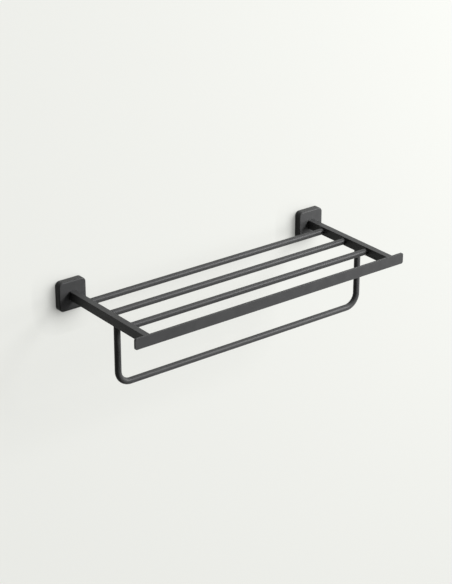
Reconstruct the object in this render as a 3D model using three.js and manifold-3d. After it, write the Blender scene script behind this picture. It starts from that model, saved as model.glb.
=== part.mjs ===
// A wall-mounted towel rack with a shelf: three round rods between two arms, a flat front rail and a bent
// towel bar below. Millimetres. X runs along the wall, -Y points into the room and +Z points up.
// The origin lies on the wall, midway between the two arms and level with their centre lines.
import * as THREE from 'three';
import { mergeVertices } from 'three/addons/utils/BufferGeometryUtils.js';
import Module from 'manifold-3d';

const wasm = await Module();
wasm.setup();

// Fits
const seatClearance = 0.3; // left all round a piece that seats in or on another
const cutOverrun = 2; // how far a cutter passes the face it opens

// Arms
const armSpacing = 544; // centre to centre
const armWidth = 13;
const armHeight = 17;
const armEdgeRadius = 0.8;
const shelfDepth = 245; // from the wall to the front of the rail

// Roses
const roseSize = 56;
const roseDepth = 14;
const roseCornerRadius = 9;
const roseEdgeRadius = 2.5;
const roseSideWall = 3.5;
const roseFrontWall = 4;
const roseRecessDepth = 1; // the arm's end is let into the front by this much
const grubBossWidth = 11;
const grubBossHeight = 4;
const grubFromWall = 5.5;

// Shelf rods
const rodNames = ['back', 'middle', 'front'];
const rodDiameter = 12;
const rodWall = 1.2;
const rodSocketDepth = 5;
const backRodFromWall = 56;
const rodPitch = 62;

// Front rail
const railOverhang = 21.5; // past the outer side of each arm
const railHeight = 21;
const railThickness = 4;
const railCornerRadius = 4;
const railEdgeRadius = 0.6;
const railPocketDepth = 1.2;

// Towel bar
const barDiameter = 12;
const barWall = 1.2;
const barFromWall = 150;
const barDrop = 120.5; // from the arms' centre lines to the bar's
const barBendRadius = 25; // at the centre line
const barSpigotLength = 8;
const barSpigotChamfer = 0.8;

// Wall brackets
const bracketSideRoom = 6.5; // from the rose's side wall to the bracket
const bracketThickness = 2;
const bracketBendRadius = 3; // outside the bend
const bracketDepth = 9; // from the wall to the flanges' free edges
const bracketRise = 2.5; // from the grub screw's boss up to the lower flange
const slotTravel = 4;

// Wall screws and plugs
const wallScrewInset = 7.1; // from each flange's outer face to the nearer screw
const wallScrewDiameter = 4.5;
const wallScrewLength = 40; // under the head
const wallScrewTip = 6;
const wallScrewHeadDiameter = 8.5;
const wallScrewHeadHeight = 3;
const crossRecessLength = 5;
const crossRecessWidth = 1.1;
const crossRecessDepth = 1.6;
const plugDiameter = 8;
const plugLength = 35;
const plugRibs = 5;
const plugRibPitch = 5;
const plugRibDepth = 0.45;
const plugSlitWidth = 1.2;
const plugSlitLength = 24;

// Arm bolts and their lock washers
const boltDiameter = 6;
const boltLength = 20; // under the head
const boltHeadDiameter = 10.5;
const boltHeadHeight = 3.3;
const boltSocketFlats = 4;
const boltSocketDepth = 2;
const boltTipRoom = 1; // left past the bolt's tip in the arm
const washerDiameter = 10.5;
const washerThickness = 1.5;
const washerSlit = 1;

// Grub screws
const grubDiameter = 5;
const grubLength = 8;
const grubCone = 1.2;
const grubSocketFlats = 2.5;
const grubSocketDepth = 3;

// Facets
const quarterTurn = Math.PI / 2;
const halfTurn = Math.PI;
const fullTurn = 2 * Math.PI;
const tubeSides = 32;
const boreSides = 18;
const screwSides = 18;
const cornerSteps = 6;
const edgeSteps = 3;
const bendSteps = 12;
const headBulgeShares = [[0, 1], [0.62, 0.96], [0.9, 0.7], [1, 0.35], [1, 0]]; // of radius and height

// Places worked out from the sizes above
const roseInside = roseDepth - roseFrontWall;
const roseCavity = roseSize - 2 * roseSideWall;
const armBack = roseDepth - roseRecessDepth + seatClearance;
const railBack = shelfDepth - railThickness;
const armLength = railBack + railPocketDepth - seatClearance - armBack;
const railLength = armSpacing + armWidth + 2 * railOverhang;
const bracketWidth = roseCavity - 2 * bracketSideRoom;
const bracketTop = roseCavity / 2 - seatClearance;
const bracketBottom = bracketRise + grubBossHeight - roseCavity / 2;
const screwHeights = { upper: bracketTop - wallScrewInset, lower: bracketBottom + wallScrewInset };
const boreRadius = wallScrewDiameter / 2 + seatClearance;

function paint() {
  return new THREE.MeshStandardMaterial({ color: 0x252627, roughness: 0.42, metalness: 0.1 });
}

function zincPlate() {
  return new THREE.MeshStandardMaterial({ color: 0xb9bcc0, roughness: 0.35, metalness: 0.9 });
}

function nylon() {
  return new THREE.MeshStandardMaterial({ color: 0xb8bab6, roughness: 0.6, metalness: 0 });
}

// A closed geometry as a solid that can be cut or joined.
function solidOf(geometry) {
  const bare = geometry.clone();
  bare.deleteAttribute('normal');
  bare.deleteAttribute('uv');
  const merged = mergeVertices(bare);
  return new wasm.Manifold(new wasm.Mesh({
    numProp: merged.attributes.position.itemSize,
    vertProperties: merged.attributes.position.array,
    triVerts: new Uint32Array(merged.index.array),
  }));
}

function geometryOf(solid) {
  const made = solid.getMesh();
  const shared = new THREE.BufferGeometry();
  shared.setAttribute('position', new THREE.BufferAttribute(made.vertProperties, made.numProp));
  shared.setIndex(new THREE.BufferAttribute(made.triVerts, 1));
  const faceted = shared.toNonIndexed();
  faceted.computeVertexNormals();
  return faceted;
}

function cut(body, cutters) {
  return geometryOf(cutters.reduce((rest, cutter) => rest.subtract(solidOf(cutter)), solidOf(body)));
}

function join(body, additions) {
  return geometryOf(additions.reduce((whole, added) => whole.add(solidOf(added)), solidOf(body)));
}

// Turns what was drawn in XY and raised along Z so that its drawing stands in the wall's plane, X and up,
// and its height runs out from the wall.
function outFromWall(geometry) {
  return geometry.rotateX(quarterTurn);
}

// Turns what was raised along Z so that it runs along X.
function alongRail(geometry) {
  return geometry.rotateY(quarterTurn);
}

function roundedRectangle(width, height, radius) {
  const points = [];
  [[1, -1], [1, 1], [-1, 1], [-1, -1]].forEach(([sideways, upwards], corner) => {
    for (let step = 0; step <= cornerSteps; step += 1) {
      const angle = (corner - 1 + step / cornerSteps) * quarterTurn;
      points.push(new THREE.Vector2(
        sideways * (width / 2 - radius) + radius * Math.cos(angle),
        upwards * (height / 2 - radius) + radius * Math.sin(angle),
      ));
    }
  });
  return new THREE.Shape(points);
}

function circlePoints(radius, sides) {
  return Array.from({ length: sides }, (_, side) => new THREE.Vector2(
    radius * Math.cos((side / sides) * fullTurn),
    radius * Math.sin((side / sides) * fullTurn),
  ));
}

function ringSection(diameter, wall) {
  const section = new THREE.Shape(circlePoints(diameter / 2, tubeSides));
  section.holes.push(new THREE.Path(circlePoints(diameter / 2 - wall, boreSides)));
  return section;
}

function raised(shape, depth) {
  return new THREE.ExtrudeGeometry(shape, { depth, bevelEnabled: false });
}

// A plate raised from 0 to depth with the edges of both faces rounded.
function softPlate(shape, depth, radius) {
  return new THREE.ExtrudeGeometry(shape, {
    depth: depth - 2 * radius,
    bevelThickness: radius,
    bevelSize: radius,
    bevelOffset: -radius,
    bevelSegments: edgeSteps,
  }).translate(0, 0, radius);
}

// A round bar or cutter along Y from start to end.
function roundAlongY(radius, start, end, sides = screwSides) {
  return new THREE.CylinderGeometry(radius, radius, end - start, sides).translate(0, (start + end) / 2, 0);
}

function hexagonAlongY(acrossFlats, start, end) {
  const corners = 6;
  return roundAlongY(acrossFlats / 2 / Math.cos(halfTurn / corners), start, end, corners);
}

// A turned piece about Y. Its profile lists [radius, place along Y] from the lower end to the upper one.
function turned(profile) {
  return new THREE.LatheGeometry(profile.map(([radius, y]) => new THREE.Vector2(radius, y)), screwSides);
}

// A rose: a hollow casting, open at the wall, that takes the arm's end in front and its bolt from inside.
function roseGeometry() {
  const blank = softPlate(
    roundedRectangle(roseSize, roseSize, roseCornerRadius),
    roseDepth + 2 * roseEdgeRadius,
    roseEdgeRadius,
  ).translate(0, 0, -2 * roseEdgeRadius);
  const behindWall = new THREE.BoxGeometry(
    roseSize + 2 * cutOverrun,
    roseSize + 2 * cutOverrun,
    2 * roseEdgeRadius + cutOverrun,
  ).translate(0, 0, -(2 * roseEdgeRadius + cutOverrun) / 2);
  const cavity = raised(
    roundedRectangle(roseCavity, roseCavity, roseCornerRadius - roseSideWall),
    roseInside + cutOverrun,
  ).translate(0, 0, -cutOverrun);
  const armRecess = raised(
    roundedRectangle(
      armWidth + 2 * seatClearance,
      armHeight + 2 * seatClearance,
      armEdgeRadius + seatClearance,
    ),
    roseRecessDepth + cutOverrun,
  ).translate(0, 0, roseDepth - roseRecessDepth);
  const boltHole = roundAlongY(boltDiameter / 2 + seatClearance, -roseDepth, 0).rotateX(-quarterTurn);
  const shell = cut(blank, [behindWall, cavity, armRecess, boltHole]);
  const bossFoot = -(roseCavity + roseSideWall) / 2; // half way through the side wall
  const bossTop = -roseCavity / 2 + grubBossHeight;
  const bossRoot = roseInside + roseFrontWall / 2; // half way through the front wall
  const boss = new THREE.BoxGeometry(
    grubBossWidth,
    bossTop - bossFoot,
    bossRoot - bracketThickness,
  ).translate(0, (bossTop + bossFoot) / 2, (bossRoot + bracketThickness) / 2);
  const grubHole = roundAlongY(
    grubDiameter / 2 + seatClearance,
    -roseSize / 2 - cutOverrun,
    bossTop + cutOverrun,
  ).translate(0, 0, grubFromWall);
  return outFromWall(cut(join(shell, [boss]), [grubHole]));
}

// An arm of solid bar: blind sockets for the rods on its inner side (+X), a tapped hole behind for its bolt
// and a turned spigot below that fits the bore of the towel bar's leg.
function armGeometry() {
  const section = roundedRectangle(armWidth, armHeight, armEdgeRadius);
  const bar = outFromWall(raised(section, armLength));
  const spigotRadius = barDiameter / 2 - barWall - seatClearance;
  const spigotY = armBack - barFromWall;
  const spigot = turned([
    [0, -barSpigotLength],
    [spigotRadius - barSpigotChamfer, -barSpigotLength],
    [spigotRadius, -barSpigotLength + barSpigotChamfer],
    [spigotRadius, armHeight / 2],
    [0, armHeight / 2],
  ]).rotateX(quarterTurn).translate(0, spigotY, -armHeight / 2);
  const boltReach = boltLength - (washerThickness + 2 * seatClearance) - (armBack - roseInside);
  const boltHole = roundAlongY(
    boltDiameter / 2 + seatClearance,
    -boltReach - boltTipRoom,
    cutOverrun,
  );
  const sockets = rodNames.map((_, index) => roundAlongY(
    rodDiameter / 2 + seatClearance,
    armWidth / 2 - rodSocketDepth,
    armWidth / 2 + cutOverrun,
    tubeSides,
  ).rotateZ(-quarterTurn).translate(0, armBack - rodFromWall(index), 0));
  return cut(join(bar, [spigot]), [boltHole, ...sockets]);
}

function rodFromWall(index) {
  return backRodFromWall + index * rodPitch;
}

function rodGeometry() {
  const length = armSpacing - armWidth + 2 * (rodSocketDepth - seatClearance);
  return alongRail(raised(ringSection(rodDiameter, rodWall), length)).translate(-length / 2, 0, 0);
}

// The front rail: a flat strip whose back has a shallow pocket for the end of each arm.
function railGeometry() {
  const strip = softPlate(
    roundedRectangle(railLength, railHeight, railCornerRadius),
    railThickness,
    railEdgeRadius,
  );
  const pockets = [-1, 1].map((side) => raised(
    roundedRectangle(
      armWidth + 2 * seatClearance,
      armHeight + 2 * seatClearance,
      armEdgeRadius + seatClearance,
    ),
    railPocketDepth + cutOverrun,
  ).translate((side * armSpacing) / 2, 0, -cutOverrun));
  return outFromWall(cut(strip, pockets));
}

// The towel bar's centre line in the XZ plane, from the top of one leg to the top of the other. Equal steps
// of t fall on the ends of its straight stretches and on equal angles of its bends.
class BarLine extends THREE.Curve {
  constructor(legSpacing, top, bottom, bendRadius) {
    super();
    Object.assign(this, { legSpacing, top, bottom, bendRadius });
    this.steps = 3 + 2 * bendSteps;
  }

  getUtoTmapping(u) {
    return u;
  }

  // The half line from a leg's top to the middle of the run, as how far in from the leg and how high.
  halfPoint(station) {
    const angle = THREE.MathUtils.clamp((station - 1) / bendSteps, 0, 1) * quarterTurn;
    const onRun = Math.max(0, station - 1 - bendSteps);
    const bendTop = this.bottom + this.bendRadius;
    const down = Math.min(station, 1);
    return {
      inwards: this.bendRadius * (1 - Math.cos(angle)) + onRun * (this.legSpacing - 2 * this.bendRadius),
      height: this.top + (bendTop - this.top) * down - this.bendRadius * Math.sin(angle),
      angle,
    };
  }

  getPoint(t, target = new THREE.Vector3()) {
    const station = t * this.steps;
    const firstHalf = station <= this.steps / 2;
    const { inwards, height } = this.halfPoint(firstHalf ? station : this.steps - station);
    const x = (this.legSpacing / 2 - inwards) * (firstHalf ? -1 : 1);
    return target.set(x, 0, height);
  }

  getTangent(t, target = new THREE.Vector3()) {
    const station = t * this.steps;
    const firstHalf = station <= this.steps / 2;
    const { angle } = this.halfPoint(firstHalf ? station : this.steps - station);
    return target.set(Math.sin(angle), 0, Math.cos(angle) * (firstHalf ? -1 : 1));
  }
}

function barGeometry() {
  const line = new BarLine(armSpacing, -armHeight / 2 - seatClearance, -barDrop, barBendRadius);
  return new THREE.ExtrudeGeometry(ringSection(barDiameter, barWall), {
    extrudePath: line,
    steps: line.steps,
  });
}

// A wall bracket pressed from strip: a plate on the wall and two flanges bent out from it, drawn as
// distance from the wall and height.
function bracketGeometry() {
  const insideBend = bracketBendRadius - bracketThickness;
  const outline = [];
  const bend = (radius, away, height, fromAngle, turn) => {
    for (let step = 0; step <= cornerSteps; step += 1) {
      const angle = fromAngle + (turn * step * quarterTurn) / cornerSteps;
      outline.push([away + radius * Math.cos(angle), height + radius * Math.sin(angle)]);
    }
  };
  outline.push([bracketDepth, bracketTop]);
  bend(bracketBendRadius, bracketBendRadius, bracketTop - bracketBendRadius, quarterTurn, 1);
  bend(bracketBendRadius, bracketBendRadius, bracketBottom + bracketBendRadius, halfTurn, 1);
  outline.push([bracketDepth, bracketBottom]);
  outline.push([bracketDepth, bracketBottom + bracketThickness]);
  bend(insideBend, bracketBendRadius, bracketBottom + bracketBendRadius, -quarterTurn, -1);
  bend(insideBend, bracketBendRadius, bracketTop - bracketBendRadius, halfTurn, -1);
  outline.push([bracketDepth, bracketTop - bracketThickness]);
  const section = new THREE.Shape(outline.map(([away, height]) => new THREE.Vector2(away, height)));
  const strip = raised(section, bracketWidth)
    .translate(0, 0, -bracketWidth / 2)
    .applyMatrix4(new THREE.Matrix4().makeBasis(
      new THREE.Vector3(0, -1, 0),
      new THREE.Vector3(0, 0, 1),
      new THREE.Vector3(-1, 0, 0),
    ));
  const slots = [
    [slotTravel, 0, screwHeights.upper],
    [0, slotTravel, screwHeights.lower],
  ].map(([across, up, height]) => outFromWall(
    raised(
      roundedRectangle(2 * boreRadius + across, 2 * boreRadius + up, boreRadius),
      bracketThickness + 2 * cutOverrun,
    ).translate(0, height, -cutOverrun),
  ));
  return cut(strip, slots);
}

// A pan head of the given size, standing from 0 down to -height on the turned profile.
function headProfile(diameter, height) {
  return headBulgeShares.map(([radiusShare, heightShare]) => [
    (radiusShare * diameter) / 2,
    -heightShare * height,
  ]);
}

function wallScrewGeometry() {
  const screw = turned([
    ...headProfile(wallScrewHeadDiameter, wallScrewHeadHeight),
    [wallScrewDiameter / 2, 0],
    [wallScrewDiameter / 2, wallScrewLength - wallScrewTip],
    [0, wallScrewLength],
  ]);
  const recess = [[crossRecessLength, crossRecessWidth], [crossRecessWidth, crossRecessLength]].map(
    ([across, up]) => new THREE.BoxGeometry(across, crossRecessDepth + cutOverrun, up)
      .translate(0, -wallScrewHeadHeight + (crossRecessDepth - cutOverrun) / 2, 0),
  );
  return cut(screw, recess);
}

// A nylon plug: a ribbed sleeve with its far end slit into four legs that spread.
function wallPlugGeometry() {
  const outer = plugDiameter / 2;
  const profile = [[0, 0], [outer, 0]];
  for (let rib = 0; rib < plugRibs; rib += 1) {
    const foot = plugLength - plugSlitLength + rib * plugRibPitch;
    profile.push([outer, foot]);
    profile.push([outer - plugRibDepth, foot]);
  }
  profile.push([outer - plugRibDepth, plugLength]);
  profile.push([0, plugLength]);
  const bore = roundAlongY(boreRadius, -cutOverrun, plugLength + cutOverrun, boreSides);
  const slitCentre = plugLength - (plugSlitLength - cutOverrun) / 2;
  const slitAcross = plugDiameter + 2 * cutOverrun;
  const slits = [[plugSlitWidth, slitAcross], [slitAcross, plugSlitWidth]].map(
    ([across, up]) => new THREE.BoxGeometry(across, plugSlitLength + cutOverrun, up)
      .translate(0, slitCentre, 0),
  );
  return cut(turned(profile), [bore, ...slits]);
}

function boltGeometry() {
  const bolt = turned([
    ...headProfile(boltHeadDiameter, boltHeadHeight),
    [boltDiameter / 2, 0],
    [boltDiameter / 2, boltLength],
    [0, boltLength],
  ]);
  const socket = hexagonAlongY(
    boltSocketFlats,
    -boltHeadHeight - cutOverrun,
    -boltHeadHeight + boltSocketDepth,
  );
  return cut(bolt, [socket]).rotateX(halfTurn);
}

// A spring washer: a ring with a slit through it, raised from 0 out from the wall.
function washerGeometry() {
  const outer = washerDiameter / 2;
  const inner = boltDiameter / 2 + seatClearance;
  const halfSlit = washerSlit / (outer + inner);
  const arc = (radius, from, to) => Array.from({ length: tubeSides + 1 }, (_, step) => {
    const angle = from + ((to - from) * step) / tubeSides;
    return new THREE.Vector2(radius * Math.cos(angle), radius * Math.sin(angle));
  });
  return outFromWall(raised(new THREE.Shape([
    ...arc(outer, halfSlit, fullTurn - halfSlit),
    ...arc(inner, fullTurn - halfSlit, halfSlit),
  ]), washerThickness));
}

function grubScrewGeometry() {
  const radius = grubDiameter / 2;
  const screw = turned([
    [0, 0],
    [radius, 0],
    [radius, grubLength - grubCone],
    [radius - grubCone, grubLength],
    [0, grubLength],
  ]);
  const socket = hexagonAlongY(grubSocketFlats, -cutOverrun, grubSocketDepth);
  return cut(screw, [socket]).rotateX(quarterTurn);
}

function piece(name, geometry, material, x = 0, y = 0, z = 0) {
  const mesh = new THREE.Mesh(geometry, material);
  mesh.name = name;
  mesh.position.set(x, y, z);
  return mesh;
}

// Everything at one end of the rack, about the arm's centre line. Its inner side faces +X.
function end(side) {
  const group = new THREE.Group();
  const washerFromWall = roseInside - seatClearance;
  const boltFromWall = washerFromWall - washerThickness - seatClearance;
  group.add(
    piece(`rosette_${side}`, roseGeometry(), paint()),
    piece(`arm_${side}`, armGeometry(), paint(), 0, -armBack),
    piece(`wall_bracket_${side}`, bracketGeometry(), zincPlate()),
    piece(`lock_washer_${side}`, washerGeometry(), zincPlate(), 0, washerThickness - washerFromWall),
    piece(`arm_bolt_${side}`, boltGeometry(), zincPlate(), 0, -boltFromWall),
    piece(
      `grub_screw_${side}`,
      grubScrewGeometry(),
      zincPlate(),
      0,
      -grubFromWall,
      bracketBottom - seatClearance - grubLength,
    ),
  );
  Object.entries(screwHeights).forEach(([level, height]) => {
    group.add(
      piece(
        `wall_screw_${side}_${level}`,
        wallScrewGeometry(),
        zincPlate(),
        0,
        -bracketThickness - seatClearance,
        height,
      ),
      piece(`wall_plug_${side}_${level}`, wallPlugGeometry(), nylon(), 0, seatClearance, height),
    );
  });
  return group;
}

const rack = new THREE.Group();

const leftEnd = end('left');
leftEnd.position.x = -armSpacing / 2;
const rightEnd = end('right');
rightEnd.position.x = armSpacing / 2;
rightEnd.scale.x = -1; // the mirror image
rack.add(leftEnd, rightEnd);

rodNames.forEach((name, index) => {
  rack.add(piece(`shelf_rod_${name}`, rodGeometry(), paint(), 0, -rodFromWall(index)));
});
rack.add(piece('front_rail', railGeometry(), paint(), 0, -railBack));
rack.add(piece('towel_bar', barGeometry(), paint(), 0, -barFromWall));

export default rack;
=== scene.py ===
import math

import bmesh
import bpy
import numpy as np
from mathutils import Matrix, Vector


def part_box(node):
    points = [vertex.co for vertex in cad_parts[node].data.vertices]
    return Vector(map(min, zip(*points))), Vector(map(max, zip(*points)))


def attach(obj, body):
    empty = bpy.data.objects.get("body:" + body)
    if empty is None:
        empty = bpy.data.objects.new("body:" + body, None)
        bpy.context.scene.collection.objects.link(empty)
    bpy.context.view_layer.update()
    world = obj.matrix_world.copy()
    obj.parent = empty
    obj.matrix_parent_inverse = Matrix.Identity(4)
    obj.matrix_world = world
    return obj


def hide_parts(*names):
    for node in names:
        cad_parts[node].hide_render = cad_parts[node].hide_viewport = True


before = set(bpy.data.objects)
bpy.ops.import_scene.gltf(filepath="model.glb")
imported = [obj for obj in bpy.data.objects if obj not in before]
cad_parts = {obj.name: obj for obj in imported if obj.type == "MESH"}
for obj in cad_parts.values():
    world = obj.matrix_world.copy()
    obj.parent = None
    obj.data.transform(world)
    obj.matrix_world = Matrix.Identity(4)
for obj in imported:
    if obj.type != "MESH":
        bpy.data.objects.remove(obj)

# Sizes are in millimetres, as in the CAD model, and become metres where a mesh or a lamp is made.
millimetre = 0.001
mergeReach = 1e-6  # points nearer than this, in metres, are one
quarterTurn, halfTurn, fullTurn = math.pi / 2, math.pi, 2 * math.pi
axisX, axisY, axisZ = np.eye(3)
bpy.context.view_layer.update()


def boxOf(node):  # a CAD node's lowest corner, highest corner and middle, in millimetres
    low, high = (np.array(corner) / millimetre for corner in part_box(node))
    return low, high, (low + high) / 2


blackFinish = {
    "colour": (0.064, 0.0645, 0.0653),
    "colourSpread": 0.05,  # share by which its patches are darker or lighter
    "roughness": (0.35, 0.43),
    "metallic": 0.0,
    "specular": 0.12,
    "grain": 0.7,  # size of the powder coat's grain
    "grainHeight": 0.03,
    "patch": 14,  # size of the faint patches in its sheen
}
zincFinish = {
    "colour": (0.52, 0.53, 0.545),
    "colourSpread": 0.07,
    "roughness": (0.28, 0.38),
    "metallic": 1.0,
    "specular": 0.5,
    "grain": 0.4,
    "grainHeight": 0.006,
    "patch": 4,
}
nylonFinish = {
    "colour": (0.38, 0.39, 0.385),
    "colourSpread": 0.04,
    "roughness": (0.44, 0.54),
    "metallic": 0.0,
    "specular": 0.45,
    "grain": 0.6,
    "grainHeight": 0.012,
    "patch": 5,
}
patchDetail, grainDetail = 4, 2  # octaves of the two noises
noiseSpan = (0.3, 0.7)  # where nearly all values of a noise lie
colourStops = (0.32, 0.68)  # the values that get the darkest and the lightest colour


def linkUp(tree, fromSocket, toSocket):
    tree.links.new(fromSocket, toSocket)


def noiseNode(tree, size, detail):
    # Noise over Object coordinates. Its scale is one over the size of a patch, in metres.
    coordinates = tree.nodes.new("ShaderNodeTexCoord")
    noise = tree.nodes.new("ShaderNodeTexNoise")
    noise.inputs["Scale"].default_value = 1 / (size * millimetre)
    noise.inputs["Detail"].default_value = detail
    linkUp(tree, coordinates.outputs["Object"], noise.inputs["Vector"])
    return noise.outputs["Fac"]


def numberOver(tree, noise, low, high):  # goes from low to high as the noise crosses its span
    reach = tree.nodes.new("ShaderNodeMapRange")
    limits = {"From Min": noiseSpan[0], "From Max": noiseSpan[1], "To Min": low, "To Max": high}
    for socket, value in limits.items():
        reach.inputs[socket].default_value = value
    linkUp(tree, noise, reach.inputs["Value"])
    return reach.outputs["Result"]


def colourOver(tree, noise, colour, spread):  # the colour, made darker and lighter by its spread
    ramp = tree.nodes.new("ShaderNodeValToRGB")
    for stop, place, share in zip(ramp.color_ramp.elements, colourStops, (1 - spread, 1 + spread)):
        stop.position = place
        stop.color = (*[channel * share for channel in colour], 1)
    linkUp(tree, noise, ramp.inputs["Fac"])
    return ramp.outputs["Color"]


def finishMaterial(name, finish):  # one noise tints and roughens it in patches, a finer one is its grain
    material = bpy.data.materials.new(name)
    material.use_nodes = True
    tree = material.node_tree
    shader = tree.nodes["Principled BSDF"]
    shader.inputs["Metallic"].default_value = finish["metallic"]
    shader.inputs["Specular IOR Level"].default_value = finish["specular"]
    patches = noiseNode(tree, finish["patch"], patchDetail)
    colour = colourOver(tree, patches, finish["colour"], finish["colourSpread"])
    linkUp(tree, colour, shader.inputs["Base Color"])
    linkUp(tree, numberOver(tree, patches, *finish["roughness"]), shader.inputs["Roughness"])
    bump = tree.nodes.new("ShaderNodeBump")
    bump.inputs["Distance"].default_value = finish["grainHeight"] * millimetre
    linkUp(tree, noiseNode(tree, finish["grain"], grainDetail), bump.inputs["Height"])
    linkUp(tree, bump.outputs["Normal"], shader.inputs["Normal"])
    return material


blackCoat = finishMaterial("black_powder_coat", blackFinish)
zincPlate = finishMaterial("zinc_plate", zincFinish)
nylon = finishMaterial("grey_nylon", nylonFinish)
print("materials made")


def gridFaces(rows, columns, wrapRows):
    # Quads between neighbouring points of a grid whose columns run round a ring. With wrapRows its
    # last row meets the first.
    row = np.arange(rows if wrapRows else rows - 1)[:, None]
    column = np.arange(columns)[None, :]
    nextRow, nextColumn = (row + 1) % rows, (column + 1) % columns
    corners = (row * columns + column, row * columns + nextColumn,
               nextRow * columns + nextColumn, nextRow * columns + column)
    return np.stack(corners, -1).reshape(-1, 4)


def cleaned(mesh):  # merges points that fall together and drops faces with no area
    work = bmesh.new()
    work.from_mesh(mesh)
    bmesh.ops.remove_doubles(work, verts=work.verts, dist=mergeReach)
    bmesh.ops.dissolve_degenerate(work, edges=work.edges, dist=mergeReach)
    work.to_mesh(mesh)
    work.free()


def meshObject(name, grid, wrapRows=False):
    # The grid is rows x columns x 3. Where its rows don't wrap, both end rings get a flat cap.
    rows, columns = grid.shape[:2]
    faces = gridFaces(rows, columns, wrapRows).tolist()
    if not wrapRows:
        faces.append(list(range(columns))[::-1])
        faces.append(list(range((rows - 1) * columns, rows * columns)))
    mesh = bpy.data.meshes.new(name)
    mesh.from_pydata((grid.reshape(-1, 3) * millimetre).tolist(), [], faces)
    cleaned(mesh)
    piece = bpy.data.objects.new(name, mesh)
    bpy.context.scene.collection.objects.link(piece)
    return piece


cornerX, cornerZ = np.array([1, -1, -1, 1]), np.array([1, 1, -1, -1])  # which way each corner lies


def roundedRings(width, height, radius, cornerSteps):
    # A rounded rectangle for each row: a point of a corner is that corner's centre, at half the size
    # less the radius, plus the radius along the point's own angle. Returns x and z, rows x points.
    angle = (np.arange(4)[:, None] + np.linspace(0, 1, cornerSteps + 1)).ravel() * quarterTurn
    corner = np.repeat(np.arange(4), cornerSteps + 1)
    width, height, radius = (np.asarray(size, float)[:, None] for size in (width, height, radius))
    x = cornerX[corner] * (width / 2 - radius) + radius * np.cos(angle)
    z = cornerZ[corner] * (height / 2 - radius) + radius * np.sin(angle)
    return x, z


def ringStack(name, centre, stations, cornerSteps, wrapRows=False):
    # Rounded rectangles that stand as the wall does, joined along Y. There is one for each station,
    # which is (width, height, corner radius, y), and centre is their x and z.
    width, height, radius, y = np.array(stations, float).T
    x, z = roundedRings(width, height, radius, cornerSteps)
    away = np.broadcast_to(y[:, None], x.shape)
    return meshObject(name, np.stack([x + centre[0], away, z + centre[1]], -1), wrapRows)


def quarterBend(steps):
    # A rounded edge of radius 1: how far it has come in (1 - cos) and forward (sin) by each angle from
    # 0 to a quarter turn.
    angle = np.linspace(0, quarterTurn, steps + 1)
    return 1 - np.cos(angle), np.sin(angle)


def tubeAlong(name, centres, tangents, side, outer, inner, sides):
    # A tube along a path: each ring is its centre plus the radius round the plane square to the
    # tangent. The grid runs along the outside, whose radius may change, and comes back along the bore,
    # so both ends are closed by their rims.
    angle = np.arange(sides) / sides * fullTurn
    across = np.cross(tangents, side)
    ring = np.cos(angle)[None, :, None] * side + np.sin(angle)[None, :, None] * across[:, None, :]
    outside = centres[:, None, :] + outer[:, None, None] * ring
    bore = centres[:, None, :] + inner * ring
    return meshObject(name, np.concatenate([outside, bore[::-1]]), wrapRows=True)


flankSteepness, crestFlat = 1.35, 0.15  # how far a thread's wave is stretched and lowered


def turnedBody(name, profile, sides, pitch=None, wrapRows=False):
    # A turned body about Y: a ring for each (place, radius, thread depth) of the profile. A thread
    # takes its depth times a wave off the radius. The wave is a triangle, stretched, lowered and
    # clipped so that crests and roots are flat, and its phase is the place in pitches less the share
    # of a turn.
    place, radius, depth = np.asarray(profile, float).T
    share = np.arange(sides) / sides
    phase = (place[:, None] / pitch - share) % 1 if pitch else np.zeros((len(place), sides))
    wave = np.clip(flankSteepness * np.abs(2 * phase - 1) - crestFlat, 0, 1)
    radii = radius[:, None] - depth[:, None] * wave
    angle = share * fullTurn
    away = np.broadcast_to(place[:, None], radii.shape)
    return meshObject(name, np.stack([radii * np.sin(angle), away, radii * np.cos(angle)], -1), wrapRows)


alongX = Matrix.Rotation(-quarterTurn, 4, "Z")  # Y becomes X
alongZ = Matrix.Rotation(quarterTurn, 4, "X")  # Y becomes Z
turnedRound = Matrix.Rotation(halfTurn, 4, "X")  # Y becomes -Y


def moved(piece, offset, turn=None):
    # Turns and then shifts the mesh itself, so that its object stays at the origin.
    if turn is not None:
        piece.data.transform(turn)
    piece.data.transform(Matrix.Translation(Vector(offset) * millimetre))
    return piece


cutterReach, recessReach = 2, 1  # how far a cutter stands out of a piece, and out of a screw's head
pinSides = 64
squareCorner = 0.01  # corner radius of a block


def carve(piece, tools, operation="DIFFERENCE"):  # cuts or joins the tools and throws them away
    for tool in tools:
        step = piece.modifiers.new("carve", "BOOLEAN")
        step.operation, step.solver, step.object = operation, "EXACT", tool
    shaped = piece.evaluated_get(bpy.context.evaluated_depsgraph_get())
    mesh = bpy.data.meshes.new_from_object(shaped)
    cleaned(mesh)
    piece.modifiers.clear()
    spent = piece.data
    piece.data = mesh
    bpy.data.meshes.remove(spent)
    mesh.name = piece.name
    for tool in tools:
        bpy.data.objects.remove(tool)
    return piece


def blockBetween(name, low, high):
    # A box as a stack of two rectangles along Y.
    low, high = np.array(low, float), np.array(high, float)
    size, centre = high - low, (low + high) / 2
    stations = [(size[0], size[2], squareCorner, y) for y in (high[1], low[1])]
    return ringStack(name, centre[[0, 2]], stations, 1)


def pinAlongY(name, radius, start, end, sides=pinSides):  # a cylinder: two rings of one radius
    return turnedBody(name, [(start, radius, 0), (end, radius, 0)], sides)


edges = {"sharpAngle": 32, "bevelAngle": 40, "bevelSteps": 2, "normalWeight": 100}


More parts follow.
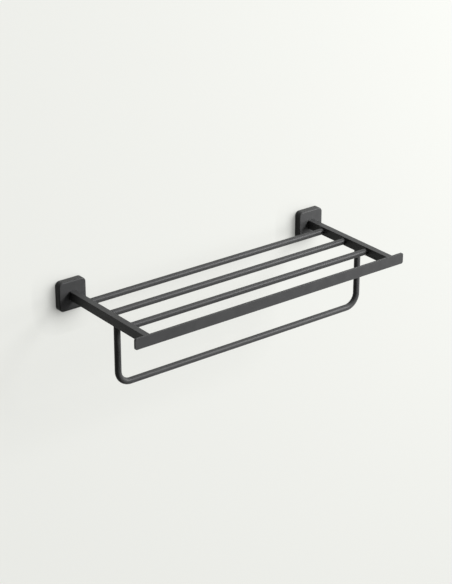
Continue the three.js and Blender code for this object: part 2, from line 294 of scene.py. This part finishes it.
def finishPiece(piece, material, node, bevel=None):
    # Smooth up to the sharp angle, with its edges bevelled where a width is given.
    piece.data.materials.clear()
    piece.data.materials.append(material)
    piece.data.shade_smooth()
    piece.data.set_sharp_from_angle(angle=math.radians(edges["sharpAngle"]))
    if bevel:
        edge = piece.modifiers.new("edge", "BEVEL")
        edge.width, edge.segments = bevel * millimetre, edges["bevelSteps"]
        edge.limit_method, edge.angle_limit = "ANGLE", math.radians(edges["bevelAngle"])
    even = piece.modifiers.new("even", "WEIGHTED_NORMAL")
    even.keep_sharp = True
    even.weight = edges["normalWeight"]
    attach(piece, "root")
    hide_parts(node)
    return piece


rose = {
    "cornerRadius": 9, "edgeRadius": 2.5, "sideWall": 3.5, "frontWall": 4, "rimChamfer": 0.35,
    "recessDepth": 1, "recessRoom": 0.06, "recessEdge": 0.25, "insideFillet": 1.2, "boltHole": 6.6,
    "bossWidth": 11, "bossHeight": 4, "bossFromWall": 2,
    "grubHole": 5.3, "grubFromWall": 5.5, "grubDrill": 14,
    "smallestRadius": 0.05, "cornerSteps": 24, "edgeSteps": 10,
}
arm = {
    "width": 13, "height": 17, "edgeRadius": 0.8, "cornerSteps": 10,
    "socketRoom": 0.04, "socketDepth": 5, "socketSides": 96, "boltHole": 6.6, "boltHoleDepth": 17.9,
    "spigot": 8.4, "spigotChamfer": 0.8, "spigotLength": 8, "spigotRoot": 8,  # below and inside the arm
}


def armSection(gap):  # the arm's width, height and edge radius, with a gap all round
    return arm["width"] + 2 * gap, arm["height"] + 2 * gap, arm["edgeRadius"] + gap


def makeRose(side):
    # One closed skin of rounded rectangles: from the rim over the side, round the front edge by a
    # quarter circle, over the recess's edge by a smaller one, through the bolt's hole, and back round
    # the cavity's fillet to the rim. The grub screw's boss is then joined on and its hole drilled.
    low, high, middle = boxOf(f"rosette_{side}")
    size, depth = high[0] - low[0], -low[1]
    span, inside = size - 2 * rose["sideWall"], depth - rose["frontWall"]
    body = (size, size, rose["cornerRadius"])
    cavity = (span, span, rose["cornerRadius"] - rose["sideWall"])
    recess = armSection(rose["recessRoom"])
    hole = (rose["boltHole"], rose["boltHole"], rose["boltHole"] / 2)
    edge, small, fillet = rose["edgeRadius"], rose["recessEdge"], rose["insideFillet"]
    chamfer, floor = rose["rimChamfer"], depth - rose["recessDepth"]
    bend = list(zip(*quarterBend(rose["edgeSteps"])))

    def ring(outline, inset, fromWall):
        width, height, radius = outline
        radius = max(radius - inset, rose["smallestRadius"])
        return width - 2 * inset, height - 2 * inset, radius, -fromWall

    stations = [ring(body, chamfer, 0), ring(body, 0, chamfer)]
    stations += [ring(body, edge * i, depth - edge * (1 - f)) for i, f in bend]
    stations += [ring(recess, -small * (1 - f), depth - small * i) for i, f in bend]
    stations += [ring(recess, 0, floor), ring(hole, 0, floor), ring(hole, 0, inside)]
    stations += [ring(cavity, fillet * (1 - f), inside - fillet * i) for i, f in bend]
    stations += [ring(cavity, 0, chamfer), ring(cavity, -chamfer, 0)]
    piece = ringStack(f"rose_{side}", middle[[0, 2]], stations, rose["cornerSteps"], wrapRows=True)

    foot, half = middle[2] - span / 2, rose["bossWidth"] / 2
    lowest = (middle[0] - half, -inside - rose["frontWall"] / 2, foot - rose["sideWall"] / 2)
    highest = (middle[0] + half, -rose["bossFromWall"], foot + rose["bossHeight"])
    carve(piece, [blockBetween("boss", lowest, highest)], "UNION")
    drill = pinAlongY("drill", rose["grubHole"] / 2, 0, rose["grubDrill"])
    below = middle[2] - size / 2 - cutterReach
    carve(piece, [moved(drill, (middle[0], -rose["grubFromWall"], below), alongZ)])
    return finishPiece(piece, blackCoat, f"rosette_{side}")


for side in ("left", "right"):
    makeRose(side)
print("roses made")


def makeArm(side, inwards):
    # A rounded rectangle carried along Y, with the bar's turned spigot joined on below. Cylinders cut
    # the bolt's hole and the rods' blind sockets.
    low, high, middle = boxOf(f"arm_{side}")
    centreX, centreZ = middle[0], high[2] - arm["height"] / 2
    stations = [(*armSection(0), y) for y in (high[1], low[1])]
    piece = ringStack(f"arm_bar_{side}", (centreX, centreZ), stations, arm["cornerSteps"])
    radius, chamfer = arm["spigot"] / 2, arm["spigotChamfer"]
    length = arm["spigotLength"] + arm["spigotRoot"]
    profile = [(0, radius - chamfer, 0), (chamfer, radius, 0), (length, radius, 0)]
    foot = centreZ - arm["height"] / 2 - arm["spigotLength"]
    barMiddle = boxOf("towel_bar")[2]
    spigot = moved(turnedBody("spigot", profile, pinSides), (centreX, barMiddle[1], foot), alongZ)
    carve(piece, [spigot], "UNION")
    boltHole = pinAlongY("bolt_hole", arm["boltHole"] / 2,
                         high[1] - arm["boltHoleDepth"], high[1] + cutterReach)
    cutters = [moved(boltHole, (centreX, 0, centreZ))]
    face = centreX + inwards * arm["width"] / 2
    start = min(face - inwards * arm["socketDepth"], face + inwards * cutterReach)
    for name in ("back", "middle", "front"):
        rodLow, rodHigh, rodMiddle = boxOf(f"shelf_rod_{name}")
        radius = (rodHigh[2] - rodLow[2]) / 2 + arm["socketRoom"]
        socket = pinAlongY("socket", radius, 0, arm["socketDepth"] + cutterReach, arm["socketSides"])
        cutters.append(moved(socket, (start, rodMiddle[1], centreZ), alongX))
    carve(piece, cutters)
    return finishPiece(piece, blackCoat, f"arm_{side}")


for side, inwards in (("left", 1), ("right", -1)):
    makeArm(side, inwards)
print("arms made")


rod = {"wall": 1.2, "endChamfer": 0.4, "sides": 96}


def makeRod(name):
    # A tube along X whose outer radius comes in by the chamfer at both ends.
    low, high, middle = boxOf(f"shelf_rod_{name}")
    radius, chamfer = (high[2] - low[2]) / 2, rod["endChamfer"]
    centres = np.tile(middle, (4, 1))
    centres[:, 0] = low[0], low[0] + chamfer, high[0] - chamfer, high[0]
    outer = radius - np.array([chamfer, 0, 0, chamfer])
    piece = tubeAlong(f"rod_{name}", centres, np.tile(axisX, (4, 1)), axisZ,
                      outer, radius - rod["wall"], rod["sides"])
    return finishPiece(piece, blackCoat, f"shelf_rod_{name}")


rail = {
    "cornerRadius": 4, "edgeRadius": 0.6, "pocketDepth": 1.2, "pocketRoom": 0.06,
    "cornerSteps": 20, "edgeSteps": 6,
}


def makeRail():
    # A rounded rectangle carried along Y. At both its faces a quarter circle takes the edge radius off
    # the outline. Each arm's end has a pocket of its own section.
    low, high, middle = boxOf("front_rail")
    size, edge = high - low, rail["edgeRadius"]
    bend = [(edge * i, edge * (1 - f)) for i, f in zip(*quarterBend(rail["edgeSteps"]))]
    back = [(inset, high[1] - fall) for inset, fall in bend][::-1]
    front = [(inset, low[1] + fall) for inset, fall in bend]
    stations = [(size[0] - 2 * inset, size[2] - 2 * inset, rail["cornerRadius"] - inset, y)
                for inset, y in back + front]
    piece = ringStack("rail_strip", (0, middle[2]), stations, rail["cornerSteps"])
    pocket = [(*armSection(rail["pocketRoom"]), y)
              for y in (high[1] + cutterReach, high[1] - rail["pocketDepth"])]
    pockets = []
    for side in ("left", "right"):
        armHigh, armMiddle = boxOf(f"arm_{side}")[1:]
        centre = (armMiddle[0], armHigh[2] - arm["height"] / 2)
        pockets.append(ringStack("pocket", centre, pocket, arm["cornerSteps"]))
    carve(piece, pockets)
    return finishPiece(piece, blackCoat, "front_rail")


towelBar = {"wall": 1.2, "bendRadius": 25, "topRoom": 0.04, "bendSteps": 40, "sides": 96}


def makeTowelBar():
    # A tube in the plane of its legs. The right half of its centre line goes round the bend by its
    # angle, from the bend's centre plus its radius times (sin, -cos), and then up the leg. The mirror
    # image comes before it.
    low, high, middle = boxOf("towel_bar")
    radius, bend = (high[1] - low[1]) / 2, towelBar["bendRadius"]
    legX, bottom = high[0] - radius, low[2] + radius
    armHigh = boxOf("arm_left")[1]
    top = armHigh[2] - arm["height"] - towelBar["topRoom"]
    angle = np.linspace(0, quarterTurn, towelBar["bendSteps"] + 1)
    x = np.append(legX - bend + bend * np.sin(angle), legX)
    z = np.append(bottom + bend - bend * np.cos(angle), top)
    turn = np.append(angle, quarterTurn)
    x, z, slope = np.append(-x[::-1], x), np.append(z[::-1], z), np.append(-turn[::-1], turn)
    centres = np.stack([x, np.full(len(x), middle[1]), z], -1)
    tangents = np.stack([np.cos(slope), np.zeros(len(x)), np.sin(slope)], -1)
    piece = tubeAlong("u_bar", centres, tangents, axisY,
                      np.full(len(x), radius), radius - towelBar["wall"], towelBar["sides"])
    return finishPiece(piece, blackCoat, "towel_bar")


for name in ("back", "middle", "front"):
    makeRod(name)
makeRail()
makeTowelBar()
print("rods, rail and towel bar made")


bracket = {
    "thickness": 2, "bendRadius": 3, "bendSteps": 12, "bevel": 0.2,
    "slotTravel": 4, "slotWidth": 5.1, "slotSteps": 12,
}


def makeBracket(side):
    # A bent strip's outline in the Y-Z plane, carried along X. The outline's upper half runs straight
    # from the free edge and round the bend by its angle to the wall. The lower half is its mirror
    # image, and the inner face runs back beside the outer one. The upper slot lies and the lower one
    # stands, so that the bracket can be set both ways.
    low, high, middle = boxOf(f"wall_bracket_{side}")
    thick, outside, depth = bracket["thickness"], bracket["bendRadius"], -low[1]
    angle = np.linspace(0, quarterTurn, bracket["bendSteps"] + 1)
    halfHeight = (high[2] - low[2]) / 2

    def face(radius, flange):
        y = np.append(-depth, -outside + radius * np.sin(angle))
        z = np.append(flange, flange - radius + radius * np.cos(angle))
        return np.append(y, y[::-1]), np.append(z, -z[::-1])

    outerY, outerZ = face(outside, halfHeight)
    innerY, innerZ = face(outside - thick, halfHeight - thick)
    y, z = np.append(outerY, innerY[::-1]), np.append(outerZ, innerZ[::-1])
    ends = np.array([low[0], high[0]])
    grid = np.stack(np.broadcast_arrays(ends[:, None], y[None, :], z[None, :] + middle[2]), -1)
    piece = meshObject(f"bracket_{side}", grid)
    slots, travel, width = [], bracket["slotTravel"], bracket["slotWidth"]
    for level, across, up in (("upper", travel, 0), ("lower", 0, travel)):
        screwMiddle = boxOf(f"wall_screw_{side}_{level}")[2]
        stations = [(width + across, width + up, width / 2, y)
                    for y in (cutterReach, -thick - cutterReach)]
        slots.append(ringStack("slot", screwMiddle[[0, 2]], stations, bracket["slotSteps"]))
    carve(piece, slots)
    return finishPiece(piece, zincPlate, f"wall_bracket_{side}", bevel=bracket["bevel"])


for side in ("left", "right"):
    makeBracket(side)
print("brackets made")


stepsPerTurn = 10  # rings to one pitch of a thread
dome = {"start": 0.02, "fall": 0.75, "spread": 0.6, "rows": 12}  # an angle and two powers


def threadRows(start, end, radius, depth, pitch, ramp=1.0):
    # Rows every tenth of a pitch. The depth grows from nothing over the first ramp and fades over the
    # last.
    place = np.linspace(start, end, int((end - start) / pitch * stepsPerTurn))
    fade = np.clip(np.minimum(place - start, end - place) / ramp, 0, 1)
    return np.stack([place, np.full(len(place), radius), depth * fade], -1)


def panHead(diameter, height):
    # A low dome: its height falls with a power of the angle's cos, and its radius grows with a power
    # of the sin, from near the middle of the top to the rim.
    angle = np.linspace(dome["start"], quarterTurn, dome["rows"])
    fall = np.clip(np.cos(angle), 0, 1) ** dome["fall"]
    spread = np.sin(angle) ** dome["spread"]
    return np.stack([-height * fall, diameter / 2 * spread, np.zeros(dome["rows"])], -1)


def hexTool(acrossFlats, start, end):  # a turned body with six sides
    return pinAlongY("hex", acrossFlats / 2 / math.cos(math.pi / 6), start, end, 6)


wallScrew = {
    "diameter": 4.5, "head": (8.5, 3), "recess": (5, 1.1, 1.6),  # its length, width and depth
    "pitch": 1.8, "threadDepth": 0.75, "plainNeck": 1.5, "plainEnd": 0.3,
    "tip": 6, "tipRadius": 0.04, "sides": 48,
}


def makeWallScrew(side, level):
    # A pan head, a plain neck and a thread whose radius and depth shrink evenly along the tip. Two
    # crossed blocks cut the recess.
    node = f"wall_screw_{side}_{level}"
    low, high, middle = boxOf(node)
    headDiameter, headHeight = wallScrew["head"]
    length, radius = high[1] - low[1] - headHeight, wallScrew["diameter"] / 2
    thread = threadRows(wallScrew["plainNeck"], length - wallScrew["plainEnd"], radius,
                        wallScrew["threadDepth"], wallScrew["pitch"])
    share = np.minimum(1, (length - thread[:, 0]) / wallScrew["tip"])
    thread[:, 1] *= share
    thread[:, 2] = np.minimum(thread[:, 2], wallScrew["threadDepth"] * share)
    profile = np.vstack([panHead(headDiameter, headHeight), (0, radius, 0), thread,
                         (length, wallScrew["tipRadius"], 0)])
    piece = turnedBody(f"screw_{side}_{level}", profile, wallScrew["sides"], wallScrew["pitch"])
    long, wide, deep = wallScrew["recess"]
    top, floor = -headHeight - recessReach, -headHeight + deep
    carve(piece, [blockBetween("cross", (-a / 2, top, -b / 2), (a / 2, floor, b / 2))
                  for a, b in ((long, wide), (wide, long))])
    moved(piece, (middle[0], low[1] + headHeight, middle[2]))
    return finishPiece(piece, zincPlate, node)


armBolt = {
    "diameter": 6, "head": (10.5, 3.3), "socket": (4, 2),  # across the flats, and its depth
    "pitch": 1, "threadDepth": 0.55, "plainNeck": 0.8, "endChamfer": 0.6, "sides": 48,
}


def makeArmBolt(side):
    # A pan head with a hex socket and a thread to a chamfered end, turned round to point forward.
    node = f"arm_bolt_{side}"
    low, high, middle = boxOf(node)
    headDiameter, headHeight = armBolt["head"]
    length, radius = high[1] - low[1] - headHeight, armBolt["diameter"] / 2
    chamfer = armBolt["endChamfer"]
    thread = threadRows(armBolt["plainNeck"], length - chamfer, radius,
                        armBolt["threadDepth"], armBolt["pitch"])
    profile = np.vstack([panHead(headDiameter, headHeight), (0, radius, 0), thread,
                         (length, radius - chamfer, 0)])
    piece = turnedBody(f"bolt_{side}", profile, armBolt["sides"], armBolt["pitch"])
    flats, deep = armBolt["socket"]
    carve(piece, [hexTool(flats, -headHeight - recessReach, -headHeight + deep)])
    moved(piece, (middle[0], high[1] - headHeight, middle[2]), turnedRound)
    return finishPiece(piece, zincPlate, node)


grubScrew = {
    "diameter": 5, "socket": (2.5, 3), "chamfer": 0.4, "cone": 1.2, "plainEnd": 0.05,
    "pitch": 0.8, "threadDepth": 0.45, "sides": 48,
}


def makeGrubScrew(side):
    # A chamfered end with a hex socket, a thread, and a cone that takes its own length off the radius.
    node = f"grub_screw_{side}"
    low, high, middle = boxOf(node)
    length, radius = high[2] - low[2], grubScrew["diameter"] / 2
    chamfer, cone, plain = grubScrew["chamfer"], grubScrew["cone"], grubScrew["plainEnd"]
    thread = threadRows(chamfer + plain, length - cone - plain, radius,
                        grubScrew["threadDepth"], grubScrew["pitch"], ramp=chamfer)
    profile = np.vstack([(0, radius - chamfer, 0), (chamfer, radius, 0), thread,
                         (length - cone, radius - plain, 0), (length, radius - cone, 0)])
    piece = turnedBody(f"grub_{side}", profile, grubScrew["sides"], grubScrew["pitch"])
    flats, deep = grubScrew["socket"]
    carve(piece, [hexTool(flats, -recessReach, deep)])
    moved(piece, (middle[0], middle[1], low[2]), alongZ)
    return finishPiece(piece, zincPlate, node)


washer = {"slit": 1, "hole": 6.6, "edge": 0.25, "steps": 72}


def makeWasher(side):
    # A rectangle with clipped corners carried round an arc, which stops short of a full turn by the
    # slit.
    node = f"lock_washer_{side}"
    low, high, middle = boxOf(node)
    outer, inner = (high[0] - low[0]) / 2, washer["hole"] / 2
    half, edge = washer["slit"] / (outer + inner), washer["edge"]
    radius = np.array([inner, inner + edge, outer - edge, outer,
                       outer, outer - edge, inner + edge, inner])
    y = np.array([low[1] + edge, low[1], low[1], low[1] + edge,
                  high[1] - edge, high[1], high[1], high[1] - edge])
    angle = np.linspace(half, fullTurn - half, washer["steps"])[:, None]
    x, z = radius * np.cos(angle), radius * np.sin(angle)
    grid = np.stack([x + middle[0], np.broadcast_to(y, x.shape), z + middle[2]], -1)
    return finishPiece(meshObject(f"washer_{side}", grid), zincPlate, node)


plug = {
    "bore": 5.1, "slitWidth": 1.2, "slitLength": 24, "mouthChamfer": 0.2, "sides": 64,
    "tipLength": 0.5, "tipTaper": 0.4, "ribs": 5, "ribPitch": 5,
    "rib": ((-0.15, 0), (0, 0.12), (0.05, 0.45), (1.2, 0.45), (2.6, 0.1575)),  # along, and how far in
}


def makePlug(side, level):
    # A turned sleeve: its outside steps in behind each rib, and the grid comes back along the bore.
    # Two crossed blocks cut the slits.
    node = f"wall_plug_{side}_{level}"
    low, high, middle = boxOf(node)
    outer, length = (high[0] - low[0]) / 2, high[1] - low[1]
    bore, mouth, start = plug["bore"] / 2, plug["mouthChamfer"], length - plug["slitLength"]
    along, inwards = np.array(plug["rib"]).T
    root = outer - inwards.max()
    foot = start + np.arange(plug["ribs"]) * plug["ribPitch"]
    place = np.concatenate([(0, mouth), (foot[:, None] + along).ravel(),
                            (length - plug["tipLength"], length, length, 0)])
    radius = np.concatenate([(outer - mouth, outer), np.tile(outer - inwards, plug["ribs"]),
                             (root, root - plug["tipTaper"], bore, bore)])
    profile = np.stack([place, radius, np.zeros(len(place))], -1)
    piece = turnedBody(f"plug_{side}_{level}", profile, plug["sides"], wrapRows=True)
    wide, reach, end = plug["slitWidth"] / 2, outer + cutterReach, length + cutterReach
    carve(piece, [blockBetween("slit", (-a, start, -b), (a, end, b))
                  for a, b in ((wide, reach), (reach, wide))])
    moved(piece, (middle[0], low[1], middle[2]))
    return finishPiece(piece, nylon, node)


for side in ("left", "right"):
    makeArmBolt(side)
    makeWasher(side)
    makeGrubScrew(side)
    for level in ("upper", "lower"):
        makeWallScrew(side, level)
        makePlug(side, level)
print("screws, bolts, washers and plugs made")


photoView = {
    "target": (-12.6, -117.5, -28.3),
    "round": -37.472, "up": 24.372, "distance": 3341.5,
    "focal": 1855.27, "frameHeight": 584,  # in the photo's pixels
    "sensor": 36,
}


def awayFrom(place):  # from the rack, by degrees round from the front to the right, and up
    around, up = math.radians(place["round"]), math.radians(place["up"])
    return Vector((math.sin(around) * math.cos(up), -math.cos(around) * math.cos(up), math.sin(up)))


def makeCamera():
    data = bpy.data.cameras.new("photo_camera")
    data.sensor_width = photoView["sensor"]
    data.lens = photoView["focal"] / photoView["frameHeight"] * photoView["sensor"]
    camera = bpy.data.objects.new("photo_camera", data)
    bpy.context.scene.collection.objects.link(camera)
    back = awayFrom(photoView)
    camera.location = (Vector(photoView["target"]) + back * photoView["distance"]) * millimetre
    camera.rotation_mode = "QUATERNION"
    camera.rotation_quaternion = (-back).to_track_quat("-Z", "Y")
    bpy.context.scene.camera = camera


makeCamera()
print("camera made")


room = {
    # The paint is a share of the colour. The rest of its paleness is a light of its own, which only
    # the rays that show a surface see: the camera's and those in a gloss. Where something stands near it
    # towards litSide, the side of the lamps, this light is dimmed: a painted shadow, cast away from the
    # lamps.
    "wallColour": (0.86, 0.868, 0.83), "floorColour": (0.45, 0.45, 0.44), "paintShare": 0.14,
    "paintRoughness": 0.9, "paintSpecular": 0.2, "wallLight": 0.724, "floorLight": 0.762,
    "litSide": (0.64, -0.48, 0.60), "paintedShadowReach": 50,
    "wallGap": 0.2, "wallReach": 850, "wallTop": 1200, "floorDrop": 1500, "floorReach": 20000,
    "rimCover": 0.8, "openingSteps": 12,  # the wall reaches that far in behind a rose's rim
    "worldColour": (1.0, 1.0, 0.985), "worldSeen": 0.80,
}
softboxes = {
    "key": {"round": 40, "up": 28, "size": 1000, "power": 94},
    "low": {"round": 55, "up": 5, "size": 1000, "power": 67},
    "top": {"round": 60, "up": 75, "size": 2000, "power": 30},
}
softboxDistance = 3000
backLamp = {"place": (-500, 1500, 500), "size": 2400, "power": 22}  # for what the wall hides


def mathNode(tree, operation, first, second):  # second is a socket or a number
    node = tree.nodes.new("ShaderNodeMath")
    node.operation = operation
    linkUp(tree, first, node.inputs[0])
    if isinstance(second, bpy.types.NodeSocket):
        linkUp(tree, second, node.inputs[1])
    else:
        node.inputs[1].default_value = second
    return node.outputs["Value"]


def seenRays(tree):
    # 1 for the rays that show a surface, straight or in a reflection, and 0 for those that it lights.
    path = tree.nodes.new("ShaderNodeLightPath")
    shown = mathNode(tree, "MAXIMUM", path.outputs["Is Camera Ray"], path.outputs["Is Glossy Ray"])
    return mathNode(tree, "MAXIMUM", shown, path.outputs["Is Transmission Ray"])


def paintedShadowFactor(tree):  # a painted shadow: how much of what lies towards the lit side is open, 1 where nothing is near, less where the rack would shade
    side = tree.nodes.new("ShaderNodeCombineXYZ")
    for socket, share in zip(side.inputs, room["litSide"]):
        socket.default_value = share
    # An ambient occlusion turned towards litSide paints the shadow that the rack would cast away from
    # the lamps.
    corner = tree.nodes.new("ShaderNodeAmbientOcclusion")
    corner.inputs["Distance"].default_value = room["paintedShadowReach"] * millimetre
    linkUp(tree, side.outputs["Vector"], corner.inputs["Normal"])
    return corner.outputs["AO"]


def stageMaterial(name, colour, light, seeThrough):
    material = bpy.data.materials.new(name)
    material.use_nodes = True
    tree = material.node_tree
    shader = tree.nodes["Principled BSDF"]
    paint = [channel * room["paintShare"] for channel in colour]
    tint = [channel / max(colour) for channel in colour]
    shader.inputs["Base Color"].default_value = (*paint, 1)
    shader.inputs["Roughness"].default_value = room["paintRoughness"]
    shader.inputs["Specular IOR Level"].default_value = room["paintSpecular"]
    shader.inputs["Emission Color"].default_value = (*tint, 1)
    # The own light, for seen rays only, is darkened by the painted shadow near the rack.
    seenWithPaintedShadow = mathNode(tree, "MULTIPLY", seenRays(tree), paintedShadowFactor(tree))
    linkUp(tree, mathNode(tree, "MULTIPLY", seenWithPaintedShadow, light), shader.inputs["Emission Strength"])
    if seeThrough:  # the wall isn't there from behind, so that the back of the rack can be seen
        clear = tree.nodes.new("ShaderNodeBsdfTransparent")
        mix = tree.nodes.new("ShaderNodeMixShader")
        geometry = tree.nodes.new("ShaderNodeNewGeometry")
        linkUp(tree, geometry.outputs["Backfacing"], mix.inputs["Fac"])
        linkUp(tree, shader.outputs["BSDF"], mix.inputs[1])
        linkUp(tree, clear.outputs["BSDF"], mix.inputs[2])
        linkUp(tree, mix.outputs["Shader"], tree.nodes["Material Output"].inputs["Surface"])
    return material


def stagePlane(name, points, faces, material):
    mesh = bpy.data.meshes.new(name)
    mesh.from_pydata((np.array(points, float) * millimetre).tolist(), [], faces)
    mesh.materials.append(material)
    plane = bpy.data.objects.new(name, mesh)
    bpy.context.scene.collection.objects.link(plane)


def makeWall():
    # A grid of rectangles, open under each rose for its plugs, and the corners of both openings filled
    # in outside an arc.
    def atGap(x, z):
        return np.stack([x, np.full(x.shape, room["wallGap"]), z], -1).reshape(-1, 3)

    reach, cover = room["wallReach"], room["rimCover"]
    low, high, middle = boxOf("rosette_right")
    left, right, bottom, top = low[0] + cover, high[0] - cover, low[2] + cover, high[2] - cover
    x = np.array([-reach, -right, -left, left, right, reach])
    z = np.array([-room["floorDrop"], bottom, top, room["wallTop"]])
    points, columns = atGap(*np.meshgrid(x, z)), len(x)
    faces = [(row * columns + column, row * columns + column + 1,
              (row + 1) * columns + column + 1, (row + 1) * columns + column)
             for row in range(len(z) - 1) for column in range(columns - 1)
             if not (row == 1 and column in (1, 3))]
    size = right - left
    arcs = roundedRings([size], [size], [rose["cornerRadius"] - cover], room["openingSteps"])
    arcX, arcZ = (arc.reshape(4, -1)[:, ::-1] for arc in arcs)
    outlineX = np.hstack([cornerX[:, None] * size / 2, arcX])
    outlineZ = np.hstack([cornerZ[:, None] * size / 2, arcZ]) + middle[2]
    outlines = atGap(np.vstack([outlineX - middle[0], outlineX + middle[0]]),
                     np.vstack([outlineZ, outlineZ]))
    faces += (len(points) + np.arange(len(outlines)).reshape(-1, outlineX.shape[1])).tolist()
    paint = stageMaterial("wall_paint", room["wallColour"], room["wallLight"], seeThrough=True)
    stagePlane("wall", np.vstack([points, outlines]), faces, paint)


def makeFloor():  # one square, so large that its edge is far off
    reach, drop = room["floorReach"], room["floorDrop"]
    points = [(x * reach, y * reach, -drop) for x, y in ((-1, -1), (1, -1), (1, 1), (-1, 1))]
    paint = stageMaterial("floor_paint", room["floorColour"], room["floorLight"], seeThrough=False)
    stagePlane("floor", points, [(0, 1, 2, 3)], paint)


def placeLamp(name, lamp, place):  # a disc that faces the rack and isn't itself in view
    data = bpy.data.lights.new(name, "AREA")
    data.shape, data.size, data.energy = "DISK", lamp["size"] * millimetre, lamp["power"]
    light = bpy.data.objects.new(name, data)
    light.location = Vector(place) * millimetre
    light.rotation_mode = "QUATERNION"
    light.rotation_quaternion = Vector(place).to_track_quat("Z", "Y")
    light.visible_camera = False
    bpy.context.scene.collection.objects.link(light)


def makeLamps():
    for name, lamp in softboxes.items():
        placeLamp(name, lamp, awayFrom(lamp) * softboxDistance)
    placeLamp("back", backLamp, backLamp["place"])


def makeWorld():
    world = bpy.data.worlds.new("room_light")
    world.use_nodes = True
    tree = world.node_tree
    background = tree.nodes["Background"]
    background.inputs["Color"].default_value = (*room["worldColour"], 1)
    strength = mathNode(tree, "MULTIPLY", seenRays(tree), room["worldSeen"])
    linkUp(tree, strength, background.inputs["Strength"])
    bpy.context.scene.world = world


makeWall()
makeFloor()
makeLamps()
makeWorld()
bpy.context.scene.view_settings.view_transform = "Standard"
print("room made")
